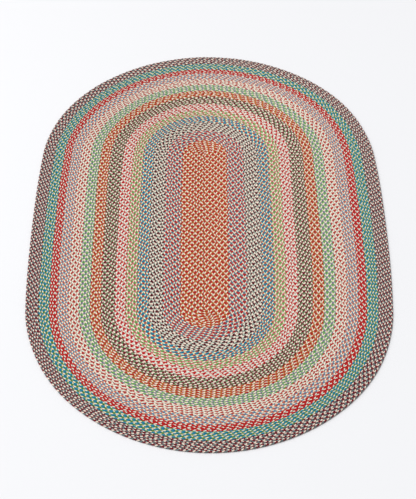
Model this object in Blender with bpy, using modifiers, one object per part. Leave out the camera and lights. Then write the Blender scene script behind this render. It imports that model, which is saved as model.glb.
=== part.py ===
"""An oval braided rug, lying flat: rows of one flat three-strand braid, laced edge to edge.

The rug is a single sheet. Its rows run side by side round a straight core line, and stand up
as low ribs with a groove between each two. The outermost braid shows its round outer side.

Frame: metres, +Z up, the rug's length along Y. The origin is under the middle, on the floor.
"""

import math

import bmesh
import bpy

# Driving dimensions, in metres
LENGTH = 2.378          # from the tip of one round end to the other
WIDTH = 1.524           # across the middle, where the long sides bow out most
SIDE_BOW = 0.041        # how far the middle of a long side stands out past a straight side
CROWN = 0.0095          # top of a braid above the floor
GROOVE = 0.0062         # bottom of the groove between two rows above the floor
ROWS = 64               # braid rows from the core line out to the rim
INNER_EASE = 0.055      # how much wider than the average the innermost row is laid

# Faces along each stretch of the outline
ARC_STEPS = 16          # round one end
SIDE_STEPS = 2          # along half of a long side
RIM_STEPS = 4           # over the round outer side of the outermost braid

# Sizes that follow from those
END_RADIUS = WIDTH / 2 - SIDE_BOW
HALF_LENGTH = LENGTH / 2
HALF_CORE = HALF_LENGTH - END_RADIUS

WELD = 0.00005          # points closer than this are one point

YARN_COLOUR = (0.36, 0.24, 0.20, 1.0)
YARN_ROUGHNESS = 0.9


def clear_scene():
    for old in list(bpy.data.objects):
        bpy.data.objects.remove(old, do_unlink=True)


def make_collection(name):
    collection = bpy.data.collections.new(name)
    bpy.context.scene.collection.children.link(collection)
    return collection


def groove_offset(row):
    """Distance from the core line to the groove outside this row, counted from 1 at the core."""
    share = row / ROWS
    return END_RADIUS * share * (1 + INNER_EASE * (1 - share))


def row_section():
    """Half of the rug's cross-section as (offset, height) points, from the core out and back.

    Each row is a rib from groove to groove. The last one ends in a half round that runs down
    to the floor, and the underside is flat.
    """
    points = [(0.0, GROOVE)]
    for row in range(1, ROWS + 1):
        inner = groove_offset(row - 1)
        outer = groove_offset(row)
        points.append(((inner + outer) / 2, CROWN))
        if row < ROWS:
            points.append((outer, GROOVE))

    rim_reach = (groove_offset(ROWS) - groove_offset(ROWS - 1)) / 2
    rim_centre = END_RADIUS - rim_reach
    rim_half_height = CROWN / 2
    for step in range(1, RIM_STEPS + 1):
        turn = math.pi * step / RIM_STEPS
        offset = rim_centre + rim_reach * math.sin(turn)
        height = rim_half_height * (1 + math.cos(turn))
        points.append((offset, height))

    points.append((0.0, 0.0))
    return points


def section_object(collection):
    """The cross-section as a chain of edges in the plane of X and Z."""
    points = row_section()
    mesh = bpy.data.meshes.new("row_section")
    bm = bmesh.new()
    chain = [bm.verts.new((offset, 0.0, height)) for offset, height in points]
    for start, end in zip(chain, chain[1:]):
        bm.edges.new((start, end))
    bm.to_mesh(mesh)
    bm.free()
    section = bpy.data.objects.new("row_section", mesh)
    collection.objects.link(section)
    return section


def turned_end(collection):
    """One round end: the cross-section turned half way round the end of the core line."""
    section = section_object(collection)
    turn = section.modifiers.new("round_end", "SCREW")
    turn.axis = "Z"
    turn.angle = math.pi
    turn.steps = ARC_STEPS
    turn.render_steps = ARC_STEPS
    turn.use_merge_vertices = True
    turn.merge_threshold = WELD

    depsgraph = bpy.context.evaluated_depsgraph_get()
    mesh = bpy.data.meshes.new_from_object(section.evaluated_get(depsgraph))
    bpy.data.objects.remove(section, do_unlink=True)
    return mesh


def run_sides(bm):
    """Carry the rows on from the round end, straight along the core line to the rug's middle."""
    bmesh.ops.translate(bm, verts=bm.verts, vec=(0.0, HALF_CORE, 0.0))
    open_edges = [edge for edge in bm.edges if edge.is_boundary]
    for _ in range(SIDE_STEPS):
        grown = bmesh.ops.extrude_edge_only(bm, edges=open_edges)["geom"]
        moved = [item for item in grown if isinstance(item, bmesh.types.BMVert)]
        bmesh.ops.translate(bm, verts=moved, vec=(0.0, -HALF_CORE / SIDE_STEPS, 0.0))
        open_edges = [item for item in grown
                      if isinstance(item, bmesh.types.BMEdge) and item.is_boundary]


def bow_sides(bm):
    """Let every row swell sideways a little, most at the middle and not at all at the tips."""
    for point in bm.verts:
        along = point.co.y / HALF_LENGTH
        point.co.x *= 1 + SIDE_BOW / END_RADIUS * (1 - along * along)


def yarn_material():
    material = bpy.data.materials.new("braided_yarn")
    material.use_nodes = True
    shader = material.node_tree.nodes["Principled BSDF"]
    shader.inputs["Base Color"].default_value = YARN_COLOUR
    shader.inputs["Roughness"].default_value = YARN_ROUGHNESS
    shader.inputs["Metallic"].default_value = 0.0
    material.diffuse_color = YARN_COLOUR
    return material


def make_rug(collection):
    """The whole rug: one ribbed half, and its mirror image across the middle."""
    mesh = turned_end(collection)
    mesh.name = "braided_rug"
    bm = bmesh.new()
    bm.from_mesh(mesh)
    run_sides(bm)
    bow_sides(bm)
    bmesh.ops.recalc_face_normals(bm, faces=bm.faces)
    bm.to_mesh(mesh)
    bm.free()

    rug = bpy.data.objects.new("braided_rug", mesh)
    collection.objects.link(rug)
    mesh.materials.clear()
    mesh.materials.append(yarn_material())

    other_half = rug.modifiers.new("other_half", "MIRROR")
    other_half.use_axis = (False, True, False)
    other_half.merge_threshold = WELD
    return rug


def main():
    clear_scene()
    make_rug(make_collection("Braided rug"))


main()
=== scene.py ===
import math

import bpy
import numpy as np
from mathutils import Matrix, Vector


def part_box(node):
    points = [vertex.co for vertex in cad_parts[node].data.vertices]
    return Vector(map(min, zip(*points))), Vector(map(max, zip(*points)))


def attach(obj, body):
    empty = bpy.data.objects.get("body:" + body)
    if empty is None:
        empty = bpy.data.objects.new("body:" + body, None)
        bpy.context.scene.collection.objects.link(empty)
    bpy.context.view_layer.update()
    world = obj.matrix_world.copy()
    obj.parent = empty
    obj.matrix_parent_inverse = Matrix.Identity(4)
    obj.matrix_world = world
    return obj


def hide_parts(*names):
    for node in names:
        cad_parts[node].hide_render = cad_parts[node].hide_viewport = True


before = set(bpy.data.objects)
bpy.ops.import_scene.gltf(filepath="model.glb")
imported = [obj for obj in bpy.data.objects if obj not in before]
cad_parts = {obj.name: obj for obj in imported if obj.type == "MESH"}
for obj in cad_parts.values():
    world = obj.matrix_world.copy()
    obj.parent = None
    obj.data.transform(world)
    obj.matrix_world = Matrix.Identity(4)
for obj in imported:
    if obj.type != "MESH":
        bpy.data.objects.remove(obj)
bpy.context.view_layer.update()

# The looks of an oval braided rug: sixty-four rows of one flat three-strand braid, laid edge to
# edge round a straight core, in fourteen colour mixes. Every row is modelled as its own closed
# braid, with the ridges of its strands in the mesh. Node groups work out the same braid for the
# shader, so that each strand has its own yarn colour, yarn ends and fibres.
#
# Sizes and places are in metres. The rows are numbered from 1 at the core to 64 at the rim.

RUG_NODE = "braided_rug"

# ---------------------------------------------------------------- sizes of the plan

LOW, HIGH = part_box(RUG_NODE)
WIDTH = HIGH[0] - LOW[0]
LENGTH = HIGH[1] - LOW[1]
THICKNESS = HIGH[2] - LOW[2]

SIDE_BOW = 0.0500           # how far the middle of a long side stands out past a straight side
END_RADIUS = WIDTH / 2 - SIDE_BOW
HALF_LENGTH = LENGTH / 2
HALF_CORE = HALF_LENGTH - END_RADIUS
ROWS = 64
ROW_EASE = 0.0599           # share by which rows are wider at the core and narrower at the rim
ROW_EASE_TILT = 0.0162      # added to that share at the core, and taken from it at the rim
CORE_SHIFT = (-0.0227, 0.0052)   # how far the innermost rows lie off the middle
CORE_SLIT = 0.00015         # half the gap between the two innermost runs

CORNER_DIPS = (
    # x and y of a place where the outline is drawn in, and how far
    (0.72, -0.60, 0.0091),
    (-0.74, -0.66, 0.0087),
    (0.74, 0.62, 0.0099),
    (-0.75, 0.60, 0.0062),
)
DIP_SPREAD = 0.166
DIP_HEADING = (0.92, 0.38)  # how much of a dip goes inwards in x, and how much in y

SWAYS = (
    # x and y of a place where rows inside the rim lie off their line, and how far in x
    (0.42, -0.55, -0.0065),
    (0.45, -0.28, 0.0035),
    (0.58, 0.25, -0.0045),
    (-0.33, 0.58, 0.0045),
    (-0.50, 0.35, -0.0035),
    (-0.30, -0.60, 0.0035),
)
SWAY_SPREAD = 0.15
WANDER = 0.0011             # how far a row strays from its true line
WANDER_WAVES = (0.12, 0.40, 7)   # shortest and longest wave in which it strays, and how many
RIM_HOLD = 0.25             # power by which swaying and straying fade away at the rim

# ---------------------------------------------------------------- sizes of the braid

# Widths and places across are shares of the row's own width.
SWING = 0.30                # how far a strand's middle swings to each side
GIRTH = 0.265               # half the width of a usual strand
RISE = 0.19 * THICKNESS     # how far a strand's middle rises and dips
BODY = 0.5 * THICKNESS - RISE    # half the height of a usual strand
PLUMP_LIFT = 0.33           # how much of its extra width a plump strand has in height too
USUAL_ROW = 0.0113          # width of a usual row
USUAL_REPEAT = 0.0370       # length of one full turn of a strand in a usual row
BRAID_SLOPE = 2 * math.pi * SWING * USUAL_ROW / USUAL_REPEAT     # steepest slant of a strand

LIE = 0.035                 # share by which the height of the braid varies
LIE_WAVES = (0.03, 0.12, 9)      # shortest and longest wave in which it varies, and how many
DRIFT = 0.03                # how far a slow change in the braiding shifts the pattern, in repeats
DRIFT_COUNTS = range(2, 11)      # how many times in a lap each of these changes comes round
DRIFT_SCATTER = (0.4, 1.6)  # the smallest and the largest of them, as shares of DRIFT
LEAD_SCATTER = 0.10         # how unevenly each row's pattern leads the one inside it, in repeats

# The mesh of a row is a ring of points, repeated along the braid on lines that follow the
# strands. The ring goes over the top of the braid, out from the core, and back underneath.
# Rows reach a little into each other. Only the outermost has a rounded edge and a shaped underside.
LINES = 6                   # lines in one repeat of the braid
TOP_ACROSS = (-0.52, -0.40, -0.27, -0.13, 0.0, 0.13, 0.27, 0.40, 0.52)
UNDER_ACROSS = (0.0,)
RIM_TOP_ACROSS = (-0.52, -0.40, -0.27, -0.13, 0.0, 0.13, 0.27, 0.38, 0.46, 0.50)
RIM_UNDER_ACROSS = (0.44, 0.30, 0.0, -0.30)
RIM_FROM = 0.22             # where the outermost row starts to round off
EDGE = 0.5                  # the edge of a row
EDGE_LEAST = 0.0002         # least height of the edge over the middle of the braid

# The pattern coordinates are the repeats along the braid, and the lane of the row with the place
# across it.
LANE = 2.0                  # from the middle of one row's lane to the next
UNDERSIDE_LANE = 1000.0     # added to the lane of faces that look down

SEED = 7
rng = np.random.default_rng(SEED)


# ---------------------------------------------------------------- colours and bands

def srgb(red, green, blue):
    """A colour given as it looks on a screen, 0 to 255, as linear light."""
    def linear(value):
        value /= 255
        return value / 12.92 if value <= 0.04045 else ((value + 0.055) / 1.055) ** 2.4
    return (linear(red), linear(green), linear(blue), 1.0)


YARNS = {
    "red": srgb(187, 12, 6),
    "deep red": srgb(190, 2, 3),
    "crimson": srgb(193, 0, 15),
    "rust": srgb(181, 31, 20),
    "brick": srgb(187, 49, 40),
    "coral": srgb(201, 79, 46),
    "rose": srgb(210, 106, 109),
    "terracotta": srgb(211, 115, 90),
    "burgundy": srgb(112, 0, 26),
    "wine": srgb(86, 0, 20),
    "ochre": srgb(193, 111, 36),
    "gold": srgb(194, 118, 46),
    "olive": srgb(100, 148, 68),
    "leaf": srgb(118, 179, 93),
    "moss": srgb(121, 159, 110),
    "grey green": srgb(108, 125, 125),
    "blue": srgb(0, 128, 159),
    "slate": srgb(102, 134, 148),
    "blue grey": srgb(108, 148, 176),
    "heather": srgb(138, 138, 156),
    "mint": srgb(192, 206, 190),
    "cream": srgb(242, 231, 208),
    "pale cream": srgb(253, 232, 214),
    "pink cream": srgb(246, 227, 207),
    "ivory": srgb(235, 238, 222),
    "white": srgb(233, 239, 226),
    "peach": srgb(242, 212, 195),
    "pale green": srgb(240, 244, 205),
    "buttermilk": srgb(248, 233, 209),
    "straw": srgb(243, 228, 193),
}

# From the core out. repeat is the length of one full turn of a strand along the braid. lead is
# how far, as a share of the repeat, each row's pattern lies ahead of the row inside it at the
# near end of the right-hand side. plump is how wide each strand is, against the usual one.
BANDS = (
    # name, rows, repeat, lead, plump, yarns
    ("orange_core", 8, 0.0370, 0.40, (1.2, 1.0, 1.0), ("red", "ochre", "cream")),
    ("red_grey", 6, 0.0380, 0.65, (1.2, 1.0, 1.0), ("red", "slate", "cream")),
    ("black_mint", 5, 0.0375, 0.75, (1.4, 1.0, 0.9), ("wine", "pale cream", "mint")),
    ("blue_coral", 4, 0.0375, 0.30, (1.45, 0.85, 0.95), ("blue", "coral", "pale green")),
    ("sage_rose", 4, 0.0370, 0.35, (1.0, 1.0, 1.0), ("leaf", "rose", "buttermilk")),
    ("red_white", 4, 0.0375, 0.30, (1.4, 1.05, 0.95), ("crimson", "white", "peach")),
    ("burgundy_green", 5, 0.0355, 0.35, (1.45, 1.0, 0.85), ("burgundy", "pale cream", "moss")),
    ("rust_gold", 4, 0.0375, 0.55, (1.2, 1.0, 1.0), ("rust", "gold", "cream")),
    ("green_heather", 4, 0.0370, 0.45, (1.0, 1.0, 1.0), ("leaf", "heather", "buttermilk")),
    ("brick_cream", 4, 0.0375, 0.40, (1.2, 1.0, 1.0), ("brick", "pink cream", "ivory")),
    ("rose_slate", 4, 0.0335, 0.75, (1.0, 1.0, 1.0), ("terracotta", "blue grey", "buttermilk")),
    ("red_loops", 3, 0.0365, 0.60, (1.15, 0.85, 1.15), ("deep red", "ivory", "deep red")),
    ("teal_olive", 4, 0.0380, 0.15, (1.4, 0.9, 0.9), ("blue", "olive", "straw")),
    ("burgundy_rim", 5, 0.0355, 0.75, (1.35, 0.85, 1.0), ("burgundy", "pale cream", "grey green")),
)


# ---------------------------------------------------------------- the plan of the rug

def groove_offset(row):
    """Distance from the core line to the groove outside this row."""
    share = row / ROWS
    ease = ROW_EASE + ROW_EASE_TILT * (1 - 2 * share)
    return END_RADIUS * share * (1 + ease * (1 - share))


def lap_of(radius):
    """Length of one lap of a row whose middle lies this far from the core line."""
    return 4 * HALF_CORE + 2 * math.pi * radius


def on_the_lap(distance, radius, reach):
    """Points of a row: distance along its middle from the near end of the right side, and reach
    out from the core line. The laps run anticlockwise, as seen from above."""
    side = 2 * HALF_CORE
    end = math.pi * radius
    distance = np.mod(distance, 2 * (side + end))
    second = distance >= side + end
    rest = np.where(second, distance - side - end, distance)
    round_end = rest > side
    angle = np.where(round_end, (rest - side) / radius, 0.0)
    along = np.where(round_end, HALF_CORE, rest - HALF_CORE)
    x = reach * np.cos(angle)
    y = along + reach * np.sin(angle)
    flip = np.where(second, -1.0, 1.0)
    return x * flip, y * flip


def waves(shortest, longest, count):
    """A smooth random field of the plan, mostly between -1 and 1, as a function."""
    lengths = rng.uniform(shortest, longest, count)
    headings = rng.uniform(0, 2 * math.pi, count)
    starts = rng.uniform(0, 2 * math.pi, count)

    def field(x, y):
        total = np.zeros_like(x)
        for length, heading, start in zip(lengths, headings, starts):
            travel = x * math.cos(heading) + y * math.sin(heading)
            total += np.sin(2 * math.pi * travel / length + start)
        return total / math.sqrt(count)
    return field


stray_x = waves(*WANDER_WAVES)
stray_y = waves(*WANDER_WAVES)
swell = waves(*LIE_WAVES)


def nearness(x, y, middle_x, middle_y, spread):
    """1 at the middle of an uneven part, falling off smoothly round it."""
    away = (x - middle_x) ** 2 + (y - middle_y) ** 2
    return np.exp(-away / (2 * spread ** 2))


def settle(x, y, reach):
    """Where a point of the regular oval lies on the real rug."""
    x = x * (1 + SIDE_BOW / END_RADIUS * (1 - (y / HALF_LENGTH) ** 2))
    inside = 1 - reach / END_RADIUS
    x = x + CORE_SHIFT[0] * inside
    y = y + CORE_SHIFT[1] * inside
    moved_x = np.zeros_like(x)
    moved_y = np.zeros_like(y)
    for dip_x, dip_y, depth in CORNER_DIPS:
        dip = depth * nearness(x, y, dip_x, dip_y, DIP_SPREAD)
        moved_x -= math.copysign(DIP_HEADING[0], dip_x) * dip
        moved_y -= math.copysign(DIP_HEADING[1], dip_y) * dip
    loose = np.clip(inside, 0.0, 1.0) ** RIM_HOLD
    for sway_x, sway_y, shift in SWAYS:
        moved_x += loose * shift * nearness(x, y, sway_x, sway_y, SWAY_SPREAD)
    return (x + moved_x + WANDER * loose * stray_x(x, y),
            y + moved_y + WANDER * loose * stray_y(x, y))


# ---------------------------------------------------------------- the braid

def drift(share):
    """How far a row runs ahead of even braiding, in repeats, at each share of its lap."""
    total = np.zeros_like(share)
    for count in DRIFT_COUNTS:
        size = DRIFT * rng.uniform(*DRIFT_SCATTER)
        start = rng.uniform(0, 1)
        total += size * np.sin(2 * math.pi * (count * share + start))
    return total


def strand_line(across):
    """How far round its repeat a strand is where it lies this far from the braid's middle."""
    share = np.clip(np.abs(across) / SWING, 0.0, 1.0)
    return np.arcsin(share) / (2 * math.pi)


def girths(plump):
    """Half the width of each of the three strands, as shares of the row's width."""
    return tuple(GIRTH * share for share in plump)


def bodies(plump):
    """Half the height of each of the three strands."""
    return tuple(BODY * (1 + PLUMP_LIFT * (share - 1)) for share in plump)


def braid_height(turns, across, side, plump):
    """Height of the braid's surface over its middle layer, on top (side 1) or below (side -1).

    turns counts repeats along the braid, and across is the place over its width.
    """
    best = np.zeros(np.broadcast(turns, across).shape)
    for strand, (girth, body) in enumerate(zip(girths(plump), bodies(plump))):
        angle = 2 * math.pi * (strand / 3 - turns)
        slant = np.sqrt(1 + (BRAID_SLOPE * np.cos(angle)) ** 2)
        off = (across - SWING * np.sin(angle)) / (girth * slant)
        round_top = body * np.sqrt(np.clip(1 - off * off, 0.0, 1.0))
        height = np.where(np.abs(off) < 1, side * RISE * np.sin(2 * angle) + round_top, 0.0)
        best = np.maximum(best, height)
    return best


def ring_across(row):
    """Where the points of a row's ring lie across it, on top and then back underneath."""
    if row == ROWS:
        return np.array(RIM_TOP_ACROSS), np.array(RIM_UNDER_ACROSS)
    return np.array(TOP_ACROSS), np.array(UNDER_ACROSS)


def ring_faces(lines, ring):
    """Faces between each line of a row and the next, round the ring."""
    line = np.arange(lines)[:, None]
    spot = np.arange(ring)
    next_line = (line + 1) % lines
    next_spot = (spot + 1) % ring
    corners = (line * ring + spot, line * ring + next_spot,
               next_line * ring + next_spot, next_line * ring + spot)
    return np.stack(corners, axis=-1).reshape(-1, 4)


def pattern_places(row, turns, across, faces_up):
    """The pattern coordinates of each face's corners, with the first faces_up of a ring on top."""
    looks_down = np.arange(len(across)) >= faces_up
    lane = LANE * row + LANE / 2 + np.where(looks_down, UNDERSIDE_LANE, 0.0)
    here = np.broadcast_to(lane + across, turns.shape)
    there = np.broadcast_to(lane + np.roll(across, -1), turns.shape)
    beside = np.roll(turns, -1, axis=1)
    step = 1 / LINES
    u = np.stack([turns, beside, beside + step, turns + step], axis=-1)
    v = np.stack([here, there, there, here], axis=-1)
    return np.stack([u, v], axis=-1).reshape(-1, 2)


def row_mesh(row, repeat, phase, plump):
    """One row as a closed braid: points, faces, pattern coordinates and how many lines it has."""
    inner = groove_offset(row - 1)
    outer = groove_offset(row)
    radius = (inner + outer) / 2
    lap = lap_of(radius)
    repeats = round(lap / repeat)
    lines = LINES * repeats
    across_top, across_under = ring_across(row)
    across = np.concatenate([across_top, across_under])
    under = np.arange(len(across)) >= len(across_top)

    # A line follows a strand out from the middle, round the edge and back to the middle below.
    turn_back = strand_line(across)
    turn_back = np.where(under, 0.5 - turn_back, turn_back)
    along = np.arange(lines)[:, None] / LINES - turn_back
    turns = along + phase
    side = np.where(under, -1.0, 1.0)
    height = braid_height(turns, across, side, plump)
    if row == ROWS:
        past = np.clip((across - RIM_FROM) / (EDGE - RIM_FROM), 0.0, 1.0)
        height = height * np.sqrt(1 - past ** 2)
    height = np.where(np.abs(across) >= EDGE, np.maximum(height, EDGE_LEAST), height)

    reach = np.maximum(radius + across * (outer - inner), CORE_SLIT)
    uneven = along + drift(along / repeats)
    x, y = on_the_lap(uneven / repeats * lap, radius, reach)
    height = height * (1 + LIE * swell(x, y))
    x, y = settle(x, y, reach)
    z = THICKNESS / 2 + side * height
    if row < ROWS:
        z = np.where(under, 0.0, z)
    points = np.stack([x, y, np.clip(z, 0.0, None)], axis=-1).reshape(-1, 3)
    pattern = pattern_places(row, turns, across, len(across_top) - 1)
    return points, ring_faces(lines, len(across)), pattern, lines


# ---------------------------------------------------------------- the bake's map

STRIPS = 6                  # strips that each row is cut into; every row's lines divide by it
UNDERSIDE_SHARE = 0.16      # of the map's height


def bake_places(row, lines, index, count):
    """Where the corners of a row's faces lie on the map. The count rows of a band are unrolled,
    and their strips are laid one above the other. index is this row's place among the rows."""
    across_top, across_under = ring_across(row)
    faces_up = len(across_top) - 1
    faces_down = len(across_under) + 1
    spot = np.arange(faces_up + faces_down)
    up = spot < faces_up
    share = np.where(up, spot / faces_up, (spot - faces_up) / faces_down)
    share_step = np.where(up, 1 / faces_up, 1 / faces_down)
    tall = np.where(up, 1 - UNDERSIDE_SHARE, UNDERSIDE_SHARE) / (STRIPS * count)
    base = np.where(up, 0.0, 1 - UNDERSIDE_SHARE)

    per_strip = lines // STRIPS
    strip, place = np.divmod(np.arange(lines)[:, None], per_strip)
    low = base + (strip * count + index) * tall + share * tall
    high = low + share_step * tall
    left = np.broadcast_to(place / per_strip, low.shape)
    right = left + 1 / per_strip
    u = np.stack([left, left, right, right], axis=-1)
    v = np.stack([low, high, high, low], axis=-1)
    return np.stack([u, v], axis=-1).reshape(-1, 2)


# ---------------------------------------------------------------- pieces

def collect(name):
    """A new collection of the scene."""
    group = bpy.data.collections.new(name)
    bpy.context.scene.collection.children.link(group)
    return group


def mesh_object(name, points, faces, maps, material, group):
    """A smooth mesh object of four-cornered faces, with its UV maps."""
    mesh = bpy.data.meshes.new(name)
    mesh.vertices.add(len(points))
    mesh.vertices.foreach_set("co", points.astype(np.float32).ravel())
    mesh.loops.add(faces.size)
    mesh.loops.foreach_set("vertex_index", faces.astype(np.int32).ravel())
    mesh.polygons.add(len(faces))
    mesh.polygons.foreach_set("loop_start", np.arange(0, faces.size, 4, dtype=np.int32))
    mesh.update(calc_edges=True)
    mesh.polygons.foreach_set("use_smooth", np.ones(len(faces), dtype=bool))
    for map_name, places in maps.items():
        layer = mesh.uv_layers.new(name=map_name)
        layer.uv.foreach_set("vector", places.astype(np.float32).ravel())
    mesh.materials.append(material)
    mesh.validate()
    piece = bpy.data.objects.new(name, mesh)
    group.objects.link(piece)
    return piece


# ---------------------------------------------------------------- looks of the yarn

MILLIMETRE = 0.001
PER_METRE = 1000            # the shader's heights are in millimetres
MISSED = -20.0              # added to the height of a strand where there is none of it

# The patterns of the yarn lie along a strand, by its turn in repeats, and round it, by the angle
# in radians. Each noise has a scale, a detail and a roughness.
ROW_STEP = 7.31             # keeps the patterns of one row unlike the next row's
STRAND_STEP = 2.17          # and those of one strand unlike the next strand's
ENDS_ALONG = 5.0            # yarn ends in one repeat
ENDS_ROUND = 7.0            # yarn ends in the full way round the strand
ENDS_STRAY = 3.0            # how far the ends stray, where 2 pi is one whole end
ENDS_FULLNESS = 0.6         # power that leaves the ends full, with narrow grooves between them
STRAY_ALONG = 3.0
STRAY_NOISE = (1.3, 1.0, 0.5)
FIBRE_ALONG = 16.0
FIBRE_TWIST = 8.0
FIBRE_ROUND = 11.0
FIBRE_NOISE = (1.0, 3.0, 0.65)
HAIR_ALONG = 14.0
HAIR_LAID = 0.35            # how far the hairs follow the yarn ends
HAIR_ROUND = 9.0
HAIR_NOISE = (3.2, 2.0, 0.7)
DYE_ALONG = 0.9
DYE_NOISE = (1.0, 2.0, 0.5)

# What the patterns do: this much for the whole of a pattern, added to a level
FIBRE_LIGHT = (0.36, 0.80)
HAIR_LIGHT = (0.50, 0.75)
DYE_LIGHT = (0.24, 0.88)
# painted shade: the yarn ends get darker in the narrow grooves between them
ENDS_PAINTED_SHADE = (0.14, 0.86)
DYE_HUE = (0.012, 0.494)
FIBRE_SATURATION = (-0.2, 1.1)
FIBRE_ROUGHNESS = (0.2, 0.72)

# Painted shade on the yarn's colour: where it starts and stops changing, and how light the colour is
# at both
FLANK_PAINTED_SHADE = (0.6, 1.0, 1.0, 0.72)   # darker towards a strand's edge, where it turns under: by the place across it, from its middle to its edge
DEPTH_PAINTED_SHADE = (-0.5, 3.0, 0.5, 1.0)   # darker where the braid lies low, between strands and rows: by the height over the middle layer, in millimetres

# Relief in millimetres
ROUND_RELIEF = 1.1
ENDS_RELIEF = 0.22
FIBRE_RELIEF = 0.16
HAIR_RELIEF = 0.20

YARN_SPECULAR = 0.25
YARN_SHEEN = 0.12
YARN_SHEEN_ROUGHNESS = 0.5


class Wiring:
    """Adds and joins the nodes of one tree, with few words."""

    def __init__(self, tree):
        self.tree = tree

    def node(self, kind, **settings):
        made = self.tree.nodes.new(kind)
        for name, value in settings.items():
            setattr(made, name, value)
        return made

    def feed(self, socket, value):
        """Links a socket to another, or sets its value."""
        if isinstance(value, bpy.types.NodeSocket):
            self.tree.links.new(value, socket)
        else:
            socket.default_value = value

    def math(self, operation, *values, clamp=False):
        made = self.node("ShaderNodeMath", operation=operation, use_clamp=clamp)
        for socket, value in zip(made.inputs, values):
            self.feed(socket, value)
        return made.outputs[0]

    def pick(self, share, first, second, kind="FLOAT"):
        """first where share is 0, second where it is 1."""
        made = self.node("ShaderNodeMix", data_type=kind)
        named = {socket.identifier: socket for socket in made.inputs}
        suffix = {"FLOAT": "Float", "RGBA": "Color"}[kind]
        self.feed(named["Factor_Float"], share)
        self.feed(named["A_" + suffix], first)
        self.feed(named["B_" + suffix], second)
        results = {socket.identifier: socket for socket in made.outputs}
        return results["Result_" + suffix]

    def ramp(self, value, from_low, from_high, to_low, to_high):
        made = self.node("ShaderNodeMapRange", interpolation_type="SMOOTHSTEP")
        for name, part in (("Value", value), ("From Min", from_low), ("From Max", from_high),
                           ("To Min", to_low), ("To Max", to_high)):
            self.feed(made.inputs[name], part)
        return made.outputs["Result"]

    def noise(self, vector, scale, detail, roughness):
        made = self.node("ShaderNodeTexNoise", noise_dimensions="3D")
        for name, part in (("Vector", vector), ("Scale", scale), ("Detail", detail),
                           ("Roughness", roughness)):
            self.feed(made.inputs[name], part)
        return made.outputs["Fac"]

    def vector(self, x, y, z):
        made = self.node("ShaderNodeCombineXYZ")
        for socket, value in zip(made.inputs, (x, y, z)):
            self.feed(socket, value)
        return made.outputs[0]


def round_of(w, off):
    """What is left inside the round of a strand at this place across it, and its height there."""
    inside = w.math("SUBTRACT", 1.0, w.math("MULTIPLY", off, off))
    return inside, w.math("SQRT", w.math("MAXIMUM", inside, 0.0))


def strand_group():
    """One strand of the braid: its height over the middle layer in millimetres, and the place
    across and along it. It does what braid_height does for one strand."""
    tree = bpy.data.node_groups.new("One strand", "ShaderNodeTree")
    for name in ("Turns", "Across", "Side", "Lead", "Girth", "Body"):
        tree.interface.new_socket(name, in_out="INPUT", socket_type="NodeSocketFloat")
    for name in ("Height", "Off", "Turn"):
        tree.interface.new_socket(name, in_out="OUTPUT", socket_type="NodeSocketFloat")
    w = Wiring(tree)
    given = w.node("NodeGroupInput").outputs
    result = w.node("NodeGroupOutput").inputs
    turn = w.math("SUBTRACT", given["Lead"], given["Turns"])
    angle = w.math("MULTIPLY", turn, 2 * math.pi)
    lean = w.math("MULTIPLY", w.math("COSINE", angle), BRAID_SLOPE)
    slant = w.math("SQRT", w.math("MULTIPLY_ADD", lean, lean, 1.0))
    shift = w.math("MULTIPLY_ADD", w.math("SINE", angle), -SWING, given["Across"])
    off = w.math("DIVIDE", w.math("DIVIDE", shift, given["Girth"]), slant)
    inside, round_top = round_of(w, off)
    wave = w.math("MULTIPLY", w.math("SINE", w.math("MULTIPLY", angle, 2.0)), given["Side"])
    body = w.math("MULTIPLY", round_top, given["Body"])
    height = w.math("MULTIPLY_ADD", wave, PER_METRE * RISE, body)
    missed = w.math("LESS_THAN", inside, 0.0)
    w.feed(result["Height"], w.math("MULTIPLY_ADD", missed, MISSED, height))
    w.feed(result["Off"], off)
    w.feed(result["Turn"], turn)
    return tree


def read_pattern(w):
    """What the pattern coordinates say: repeats along, row, place across, and side 1 or -1."""
    split = w.node("ShaderNodeSeparateXYZ")
    w.feed(split.inputs[0], w.node("ShaderNodeUVMap", uv_map="pattern").outputs[0])
    turns = split.outputs[0]
    lane = split.outputs[1]
    down = w.math("GREATER_THAN", lane, UNDERSIDE_LANE / 2)
    side = w.math("MULTIPLY_ADD", down, -2.0, 1.0)
    lane = w.math("MULTIPLY_ADD", down, -UNDERSIDE_LANE, lane)
    row = w.math("FLOOR", w.math("MULTIPLY", lane, 1 / LANE))
    across = w.math("SUBTRACT", w.math("MODULO", lane, LANE), LANE / 2)
    return turns, row, across, side


def top_strand(w, strand_tree, plump, yarns, turns, across, side):
    """The highest strand at each point: its height, place across, turn, colour and number."""
    strands = []
    for number, (girth, body) in enumerate(zip(girths(plump), bodies(plump))):
        made = w.node("ShaderNodeGroup", node_tree=strand_tree)
        for name, value in (("Turns", turns), ("Across", across), ("Side", side),
                            ("Lead", number / 3), ("Girth", girth), ("Body", PER_METRE * body)):
            w.feed(made.inputs[name], value)
        strands.append(made.outputs)
    second = w.math("GREATER_THAN", strands[1]["Height"], strands[0]["Height"])
    height = w.math("MAXIMUM", strands[0]["Height"], strands[1]["Height"])
    third = w.math("GREATER_THAN", strands[2]["Height"], height)
    height = w.math("MAXIMUM", height, strands[2]["Height"])

    def showing(values, kind="FLOAT"):
        return w.pick(third, w.pick(second, values[0], values[1], kind), values[2], kind)

    off = showing([strand["Off"] for strand in strands])
    turn = showing([strand["Turn"] for strand in strands])
    return height, off, turn, showing(yarns, "RGBA"), showing([0.0, 1.0, 2.0])


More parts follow.
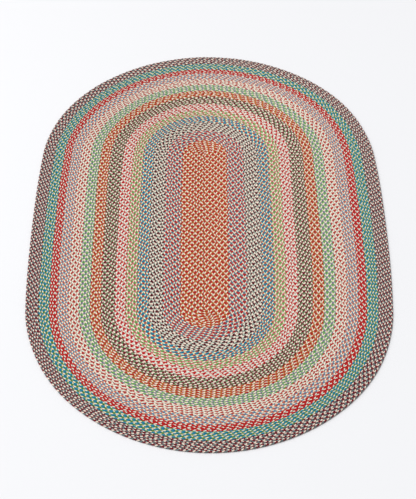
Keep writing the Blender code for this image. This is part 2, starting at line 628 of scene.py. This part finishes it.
def yarn_patterns(w, off, turn, own):
    """The yarn ends laid round a strand with a slight twist, its fibres, the finer hairs, and the
    slow change of its dye. Each is 0 to 1, and own tells one strand's patterns from another's."""
    round_it = w.math("ARCSINE", w.math("MINIMUM", w.math("MAXIMUM", off, -1.0), 1.0))

    stray_place = w.vector(w.math("MULTIPLY", turn, STRAY_ALONG), round_it, own)
    stray = w.noise(stray_place, *STRAY_NOISE)
    laid = w.math("MULTIPLY_ADD", turn, 2 * math.pi * ENDS_ALONG,
                  w.math("MULTIPLY", round_it, ENDS_ROUND))
    laid = w.math("MULTIPLY_ADD", stray, ENDS_STRAY, laid)
    ends = w.math("ABSOLUTE", w.math("SINE", w.math("MULTIPLY", laid, 0.5)))
    ends = w.math("POWER", ends, ENDS_FULLNESS)

    fibre_lie = w.math("MULTIPLY_ADD", turn, FIBRE_TWIST, w.math("MULTIPLY", round_it, FIBRE_ROUND))
    fibre_place = w.vector(w.math("MULTIPLY", turn, FIBRE_ALONG), fibre_lie, own)
    fibres = w.noise(fibre_place, *FIBRE_NOISE)

    hair_lie = w.math("MULTIPLY_ADD", laid, HAIR_LAID, w.math("MULTIPLY", round_it, HAIR_ROUND))
    hair_place = w.vector(w.math("MULTIPLY", turn, HAIR_ALONG), hair_lie, own)
    hairs = w.noise(hair_place, *HAIR_NOISE)

    dye = w.noise(w.vector(w.math("MULTIPLY", turn, DYE_ALONG), 0.0, own), *DYE_NOISE)
    return ends, fibres, hairs, dye


def braid_group(strand_tree, plump):
    """The whole braid: the strand that shows, its colour with the yarn's own variation and with
    painted shade, and its relief."""
    tree = bpy.data.node_groups.new("Three-strand braid", "ShaderNodeTree")
    for name in ("Yarn 1", "Yarn 2", "Yarn 3"):
        tree.interface.new_socket(name, in_out="INPUT", socket_type="NodeSocketColor")
    tree.interface.new_socket("Color", in_out="OUTPUT", socket_type="NodeSocketColor")
    tree.interface.new_socket("Roughness", in_out="OUTPUT", socket_type="NodeSocketFloat")
    tree.interface.new_socket("Normal", in_out="OUTPUT", socket_type="NodeSocketVector")
    w = Wiring(tree)
    given = w.node("NodeGroupInput").outputs
    result = w.node("NodeGroupOutput").inputs

    turns, row, across, side = read_pattern(w)
    yarns = [given["Yarn 1"], given["Yarn 2"], given["Yarn 3"]]
    height, off, turn, colour, number = top_strand(w, strand_tree, plump, yarns, turns, across, side)
    own = w.math("MULTIPLY_ADD", row, ROW_STEP, w.math("MULTIPLY", number, STRAND_STEP))
    ends, fibres, hairs, dye = yarn_patterns(w, off, turn, own)

    # Colour: heathered fibres and a slow change of dye, with painted shade between yarn ends, at the
    # strands' edges and where the braid lies low
    light = w.math("MULTIPLY_ADD", fibres, *FIBRE_LIGHT)
    # the ends pattern darkens the colour in the narrow grooves between yarn ends: painted shade
    for pattern, change in ((hairs, HAIR_LIGHT), (dye, DYE_LIGHT), (ends, ENDS_PAINTED_SHADE)):
        light = w.math("MULTIPLY", light, w.math("MULTIPLY_ADD", pattern, *change))
    # Painted shade: the colour darkens towards each strand's edge, where it turns under
    flank_painted_shade = w.ramp(w.math("ABSOLUTE", off), *FLANK_PAINTED_SHADE)
    # Painted shade: the colour darkens where the braid lies low, in the grooves between strands and
    # rows
    depth = w.ramp(height, *DEPTH_PAINTED_SHADE)
    light = w.math("MULTIPLY", light, w.math("MULTIPLY", flank_painted_shade, depth))
    tinted = w.node("ShaderNodeHueSaturation")
    w.feed(tinted.inputs["Hue"], w.math("MULTIPLY_ADD", dye, *DYE_HUE))
    w.feed(tinted.inputs["Saturation"], w.math("MULTIPLY_ADD", fibres, *FIBRE_SATURATION))
    w.feed(tinted.inputs["Value"], light)
    w.feed(tinted.inputs["Color"], colour)
    w.feed(result["Color"], tinted.outputs[0])
    w.feed(result["Roughness"], w.math("MULTIPLY_ADD", fibres, *FIBRE_ROUGHNESS, clamp=True))

    # Relief: the round of the strand, its ends, its fibres and its hairs
    relief = w.math("MULTIPLY", round_of(w, off)[1], ROUND_RELIEF)
    for pattern, amount in ((ends, ENDS_RELIEF), (fibres, FIBRE_RELIEF), (hairs, HAIR_RELIEF)):
        relief = w.math("MULTIPLY_ADD", pattern, amount, relief)
    bump = w.node("ShaderNodeBump")
    w.feed(bump.inputs["Strength"], 1.0)
    w.feed(bump.inputs["Distance"], MILLIMETRE)
    w.feed(bump.inputs["Height"], relief)
    w.feed(result["Normal"], bump.outputs[0])
    return tree


def yarn_material(name, yarns, braid_tree):
    """The braid in three yarns."""
    material = bpy.data.materials.new(name)
    material.use_nodes = True
    w = Wiring(material.node_tree)
    shader = material.node_tree.nodes["Principled BSDF"]
    braid = w.node("ShaderNodeGroup", node_tree=braid_tree)
    for number, yarn in enumerate(yarns, start=1):
        w.feed(braid.inputs[f"Yarn {number}"], YARNS[yarn])
    w.feed(shader.inputs["Base Color"], braid.outputs["Color"])
    w.feed(shader.inputs["Roughness"], braid.outputs["Roughness"])
    w.feed(shader.inputs["Normal"], braid.outputs["Normal"])
    w.feed(shader.inputs["Specular IOR Level"], YARN_SPECULAR)
    w.feed(shader.inputs["Sheen Weight"], YARN_SHEEN)
    w.feed(shader.inputs["Sheen Roughness"], YARN_SHEEN_ROUGHNESS)
    return material


# ---------------------------------------------------------------- the rug

def make_band(name, first_row, repeat, phases, plump, material, group):
    """One colour band as a single piece: a row for each of the phases, from first_row out."""
    rows = len(phases)
    points, faces, pattern, bake = [], [], [], []
    start = 0
    for index, phase in enumerate(phases):
        row = first_row + index
        row_points, row_faces, row_pattern, lines = row_mesh(row, repeat, phase, plump)
        points.append(row_points)
        faces.append(row_faces + start)
        pattern.append(row_pattern)
        bake.append(bake_places(row, lines, index, rows))
        start += len(row_points)
    maps = {"pattern": np.concatenate(pattern), "OFBake": np.concatenate(bake)}
    piece = mesh_object(name, np.concatenate(points), np.concatenate(faces), maps, material, group)
    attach(piece, "root")
    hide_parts(RUG_NODE)


def make_rug():
    """All the bands, each row's pattern leading the one inside it."""
    group = collect("Rug")
    strand_tree = strand_group()
    plumps = sorted({plump for _, _, _, _, plump, _ in BANDS})
    braid_trees = {plump: braid_group(strand_tree, plump) for plump in plumps}
    first_row = 1
    phase = 0.0
    for number, (name, rows, repeat, lead, plump, yarns) in enumerate(BANDS, start=1):
        phases = []
        for _ in range(rows):
            phase = (phase + lead + rng.uniform(-LEAD_SCATTER, LEAD_SCATTER)) % 1.0
            phases.append(phase)
        material = yarn_material(f"yarn_{name}", yarns, braid_trees[plump])
        make_band(f"band_{number:02d}_{name}", first_row, repeat, phases, plump, material, group)
        first_row += rows


# ---------------------------------------------------------------- floor, light and camera

FLOOR_SIDE = 60.0
FLOOR_DROP = 0.0003         # how far the floor lies under the rug
FLOOR_COLOUR = srgb(232, 232, 234)
FLOOR_ROUGHNESS = 0.7
FLOOR_SPECULAR = 0.2

WORLD_COLOUR = (0.98, 0.99, 1.0, 1.0)
WORLD_POWER = 0.50
KEY_PLACE = (-2.6, -0.2, 5.4)
KEY_POWER = 2.00
KEY_SOFTNESS = 0.45         # angle across the key light, in radians
SIDE_PLACE = (-4.2, 0.8, 3.6)
SIDE_POWER = 52.0
SIDE_SIZE = 2.5             # diameter of the side light
LIT_POINT = (0.0, 0.0, 0.0)

VIEW_TARGET = (-0.0044, -0.1258, 0.0080)
VIEW_DISTANCE = 6.2995
VIEW_FROM_ABOVE = 0.7795    # angle between the view and straight down, in radians
VIEW_TURN = -0.0083         # round the upright axis, in radians
VIEW_ROLL = 0.0090          # round the line of sight, in radians
VIEW_LENS = 107.30          # millimetres, as is the sensor
SENSOR = 36.0
VIEW_REACH = 100.0          # how far the camera sees


def make_floor():
    bpy.ops.mesh.primitive_plane_add(size=FLOOR_SIDE, location=(0.0, 0.0, -FLOOR_DROP))
    floor = bpy.context.object
    floor.name = "floor"
    material = bpy.data.materials.new("pale_floor")
    material.use_nodes = True
    shader = material.node_tree.nodes["Principled BSDF"]
    shader.inputs["Base Color"].default_value = FLOOR_COLOUR
    shader.inputs["Roughness"].default_value = FLOOR_ROUGHNESS
    shader.inputs["Specular IOR Level"].default_value = FLOOR_SPECULAR
    floor.data.materials.append(material)


def aim(thing, target):
    direction = Vector(target) - thing.location
    thing.rotation_euler = direction.to_track_quat("-Z", "Y").to_euler()


def make_light(name, kind, place, power):
    light = bpy.data.lights.new(name, kind)
    light.energy = power
    lamp = bpy.data.objects.new(name, light)
    lamp.location = place
    bpy.context.scene.collection.objects.link(lamp)
    aim(lamp, LIT_POINT)
    return light


def make_lights():
    """Even light all round, a soft key light from above and a disk of light on the left."""
    world = bpy.data.worlds.new("studio")
    world.use_nodes = True
    background = world.node_tree.nodes["Background"]
    background.inputs["Color"].default_value = WORLD_COLOUR
    background.inputs["Strength"].default_value = WORLD_POWER
    bpy.context.scene.world = world
    key = make_light("key", "SUN", KEY_PLACE, KEY_POWER)
    key.angle = KEY_SOFTNESS
    side = make_light("side", "AREA", SIDE_PLACE, SIDE_POWER)
    side.shape = "DISK"
    side.size = SIDE_SIZE


def make_camera():
    """The photo's camera, which looks down at the rug from its near end."""
    data = bpy.data.cameras.new("camera")
    data.lens = VIEW_LENS
    data.sensor_width = SENSOR
    data.clip_end = VIEW_REACH
    data.dof.use_dof = False
    camera = bpy.data.objects.new("camera", data)
    bpy.context.scene.collection.objects.link(camera)
    ahead = Vector((0.0, math.sin(VIEW_FROM_ABOVE), -math.cos(VIEW_FROM_ABOVE)))
    level = Vector((1.0, 0.0, 0.0))
    over = level.cross(ahead)
    right = math.cos(VIEW_ROLL) * level + math.sin(VIEW_ROLL) * over
    up = math.cos(VIEW_ROLL) * over - math.sin(VIEW_ROLL) * level
    axes = Matrix((right, up, -ahead)).transposed().to_4x4()
    place = Matrix.Translation(Vector(VIEW_TARGET) - VIEW_DISTANCE * ahead)
    camera.matrix_world = Matrix.Rotation(VIEW_TURN, 4, "Z") @ place @ axes
    bpy.context.scene.camera = camera


bpy.context.scene.view_settings.view_transform = "Standard"
make_rug()
make_floor()
make_lights()
make_camera()
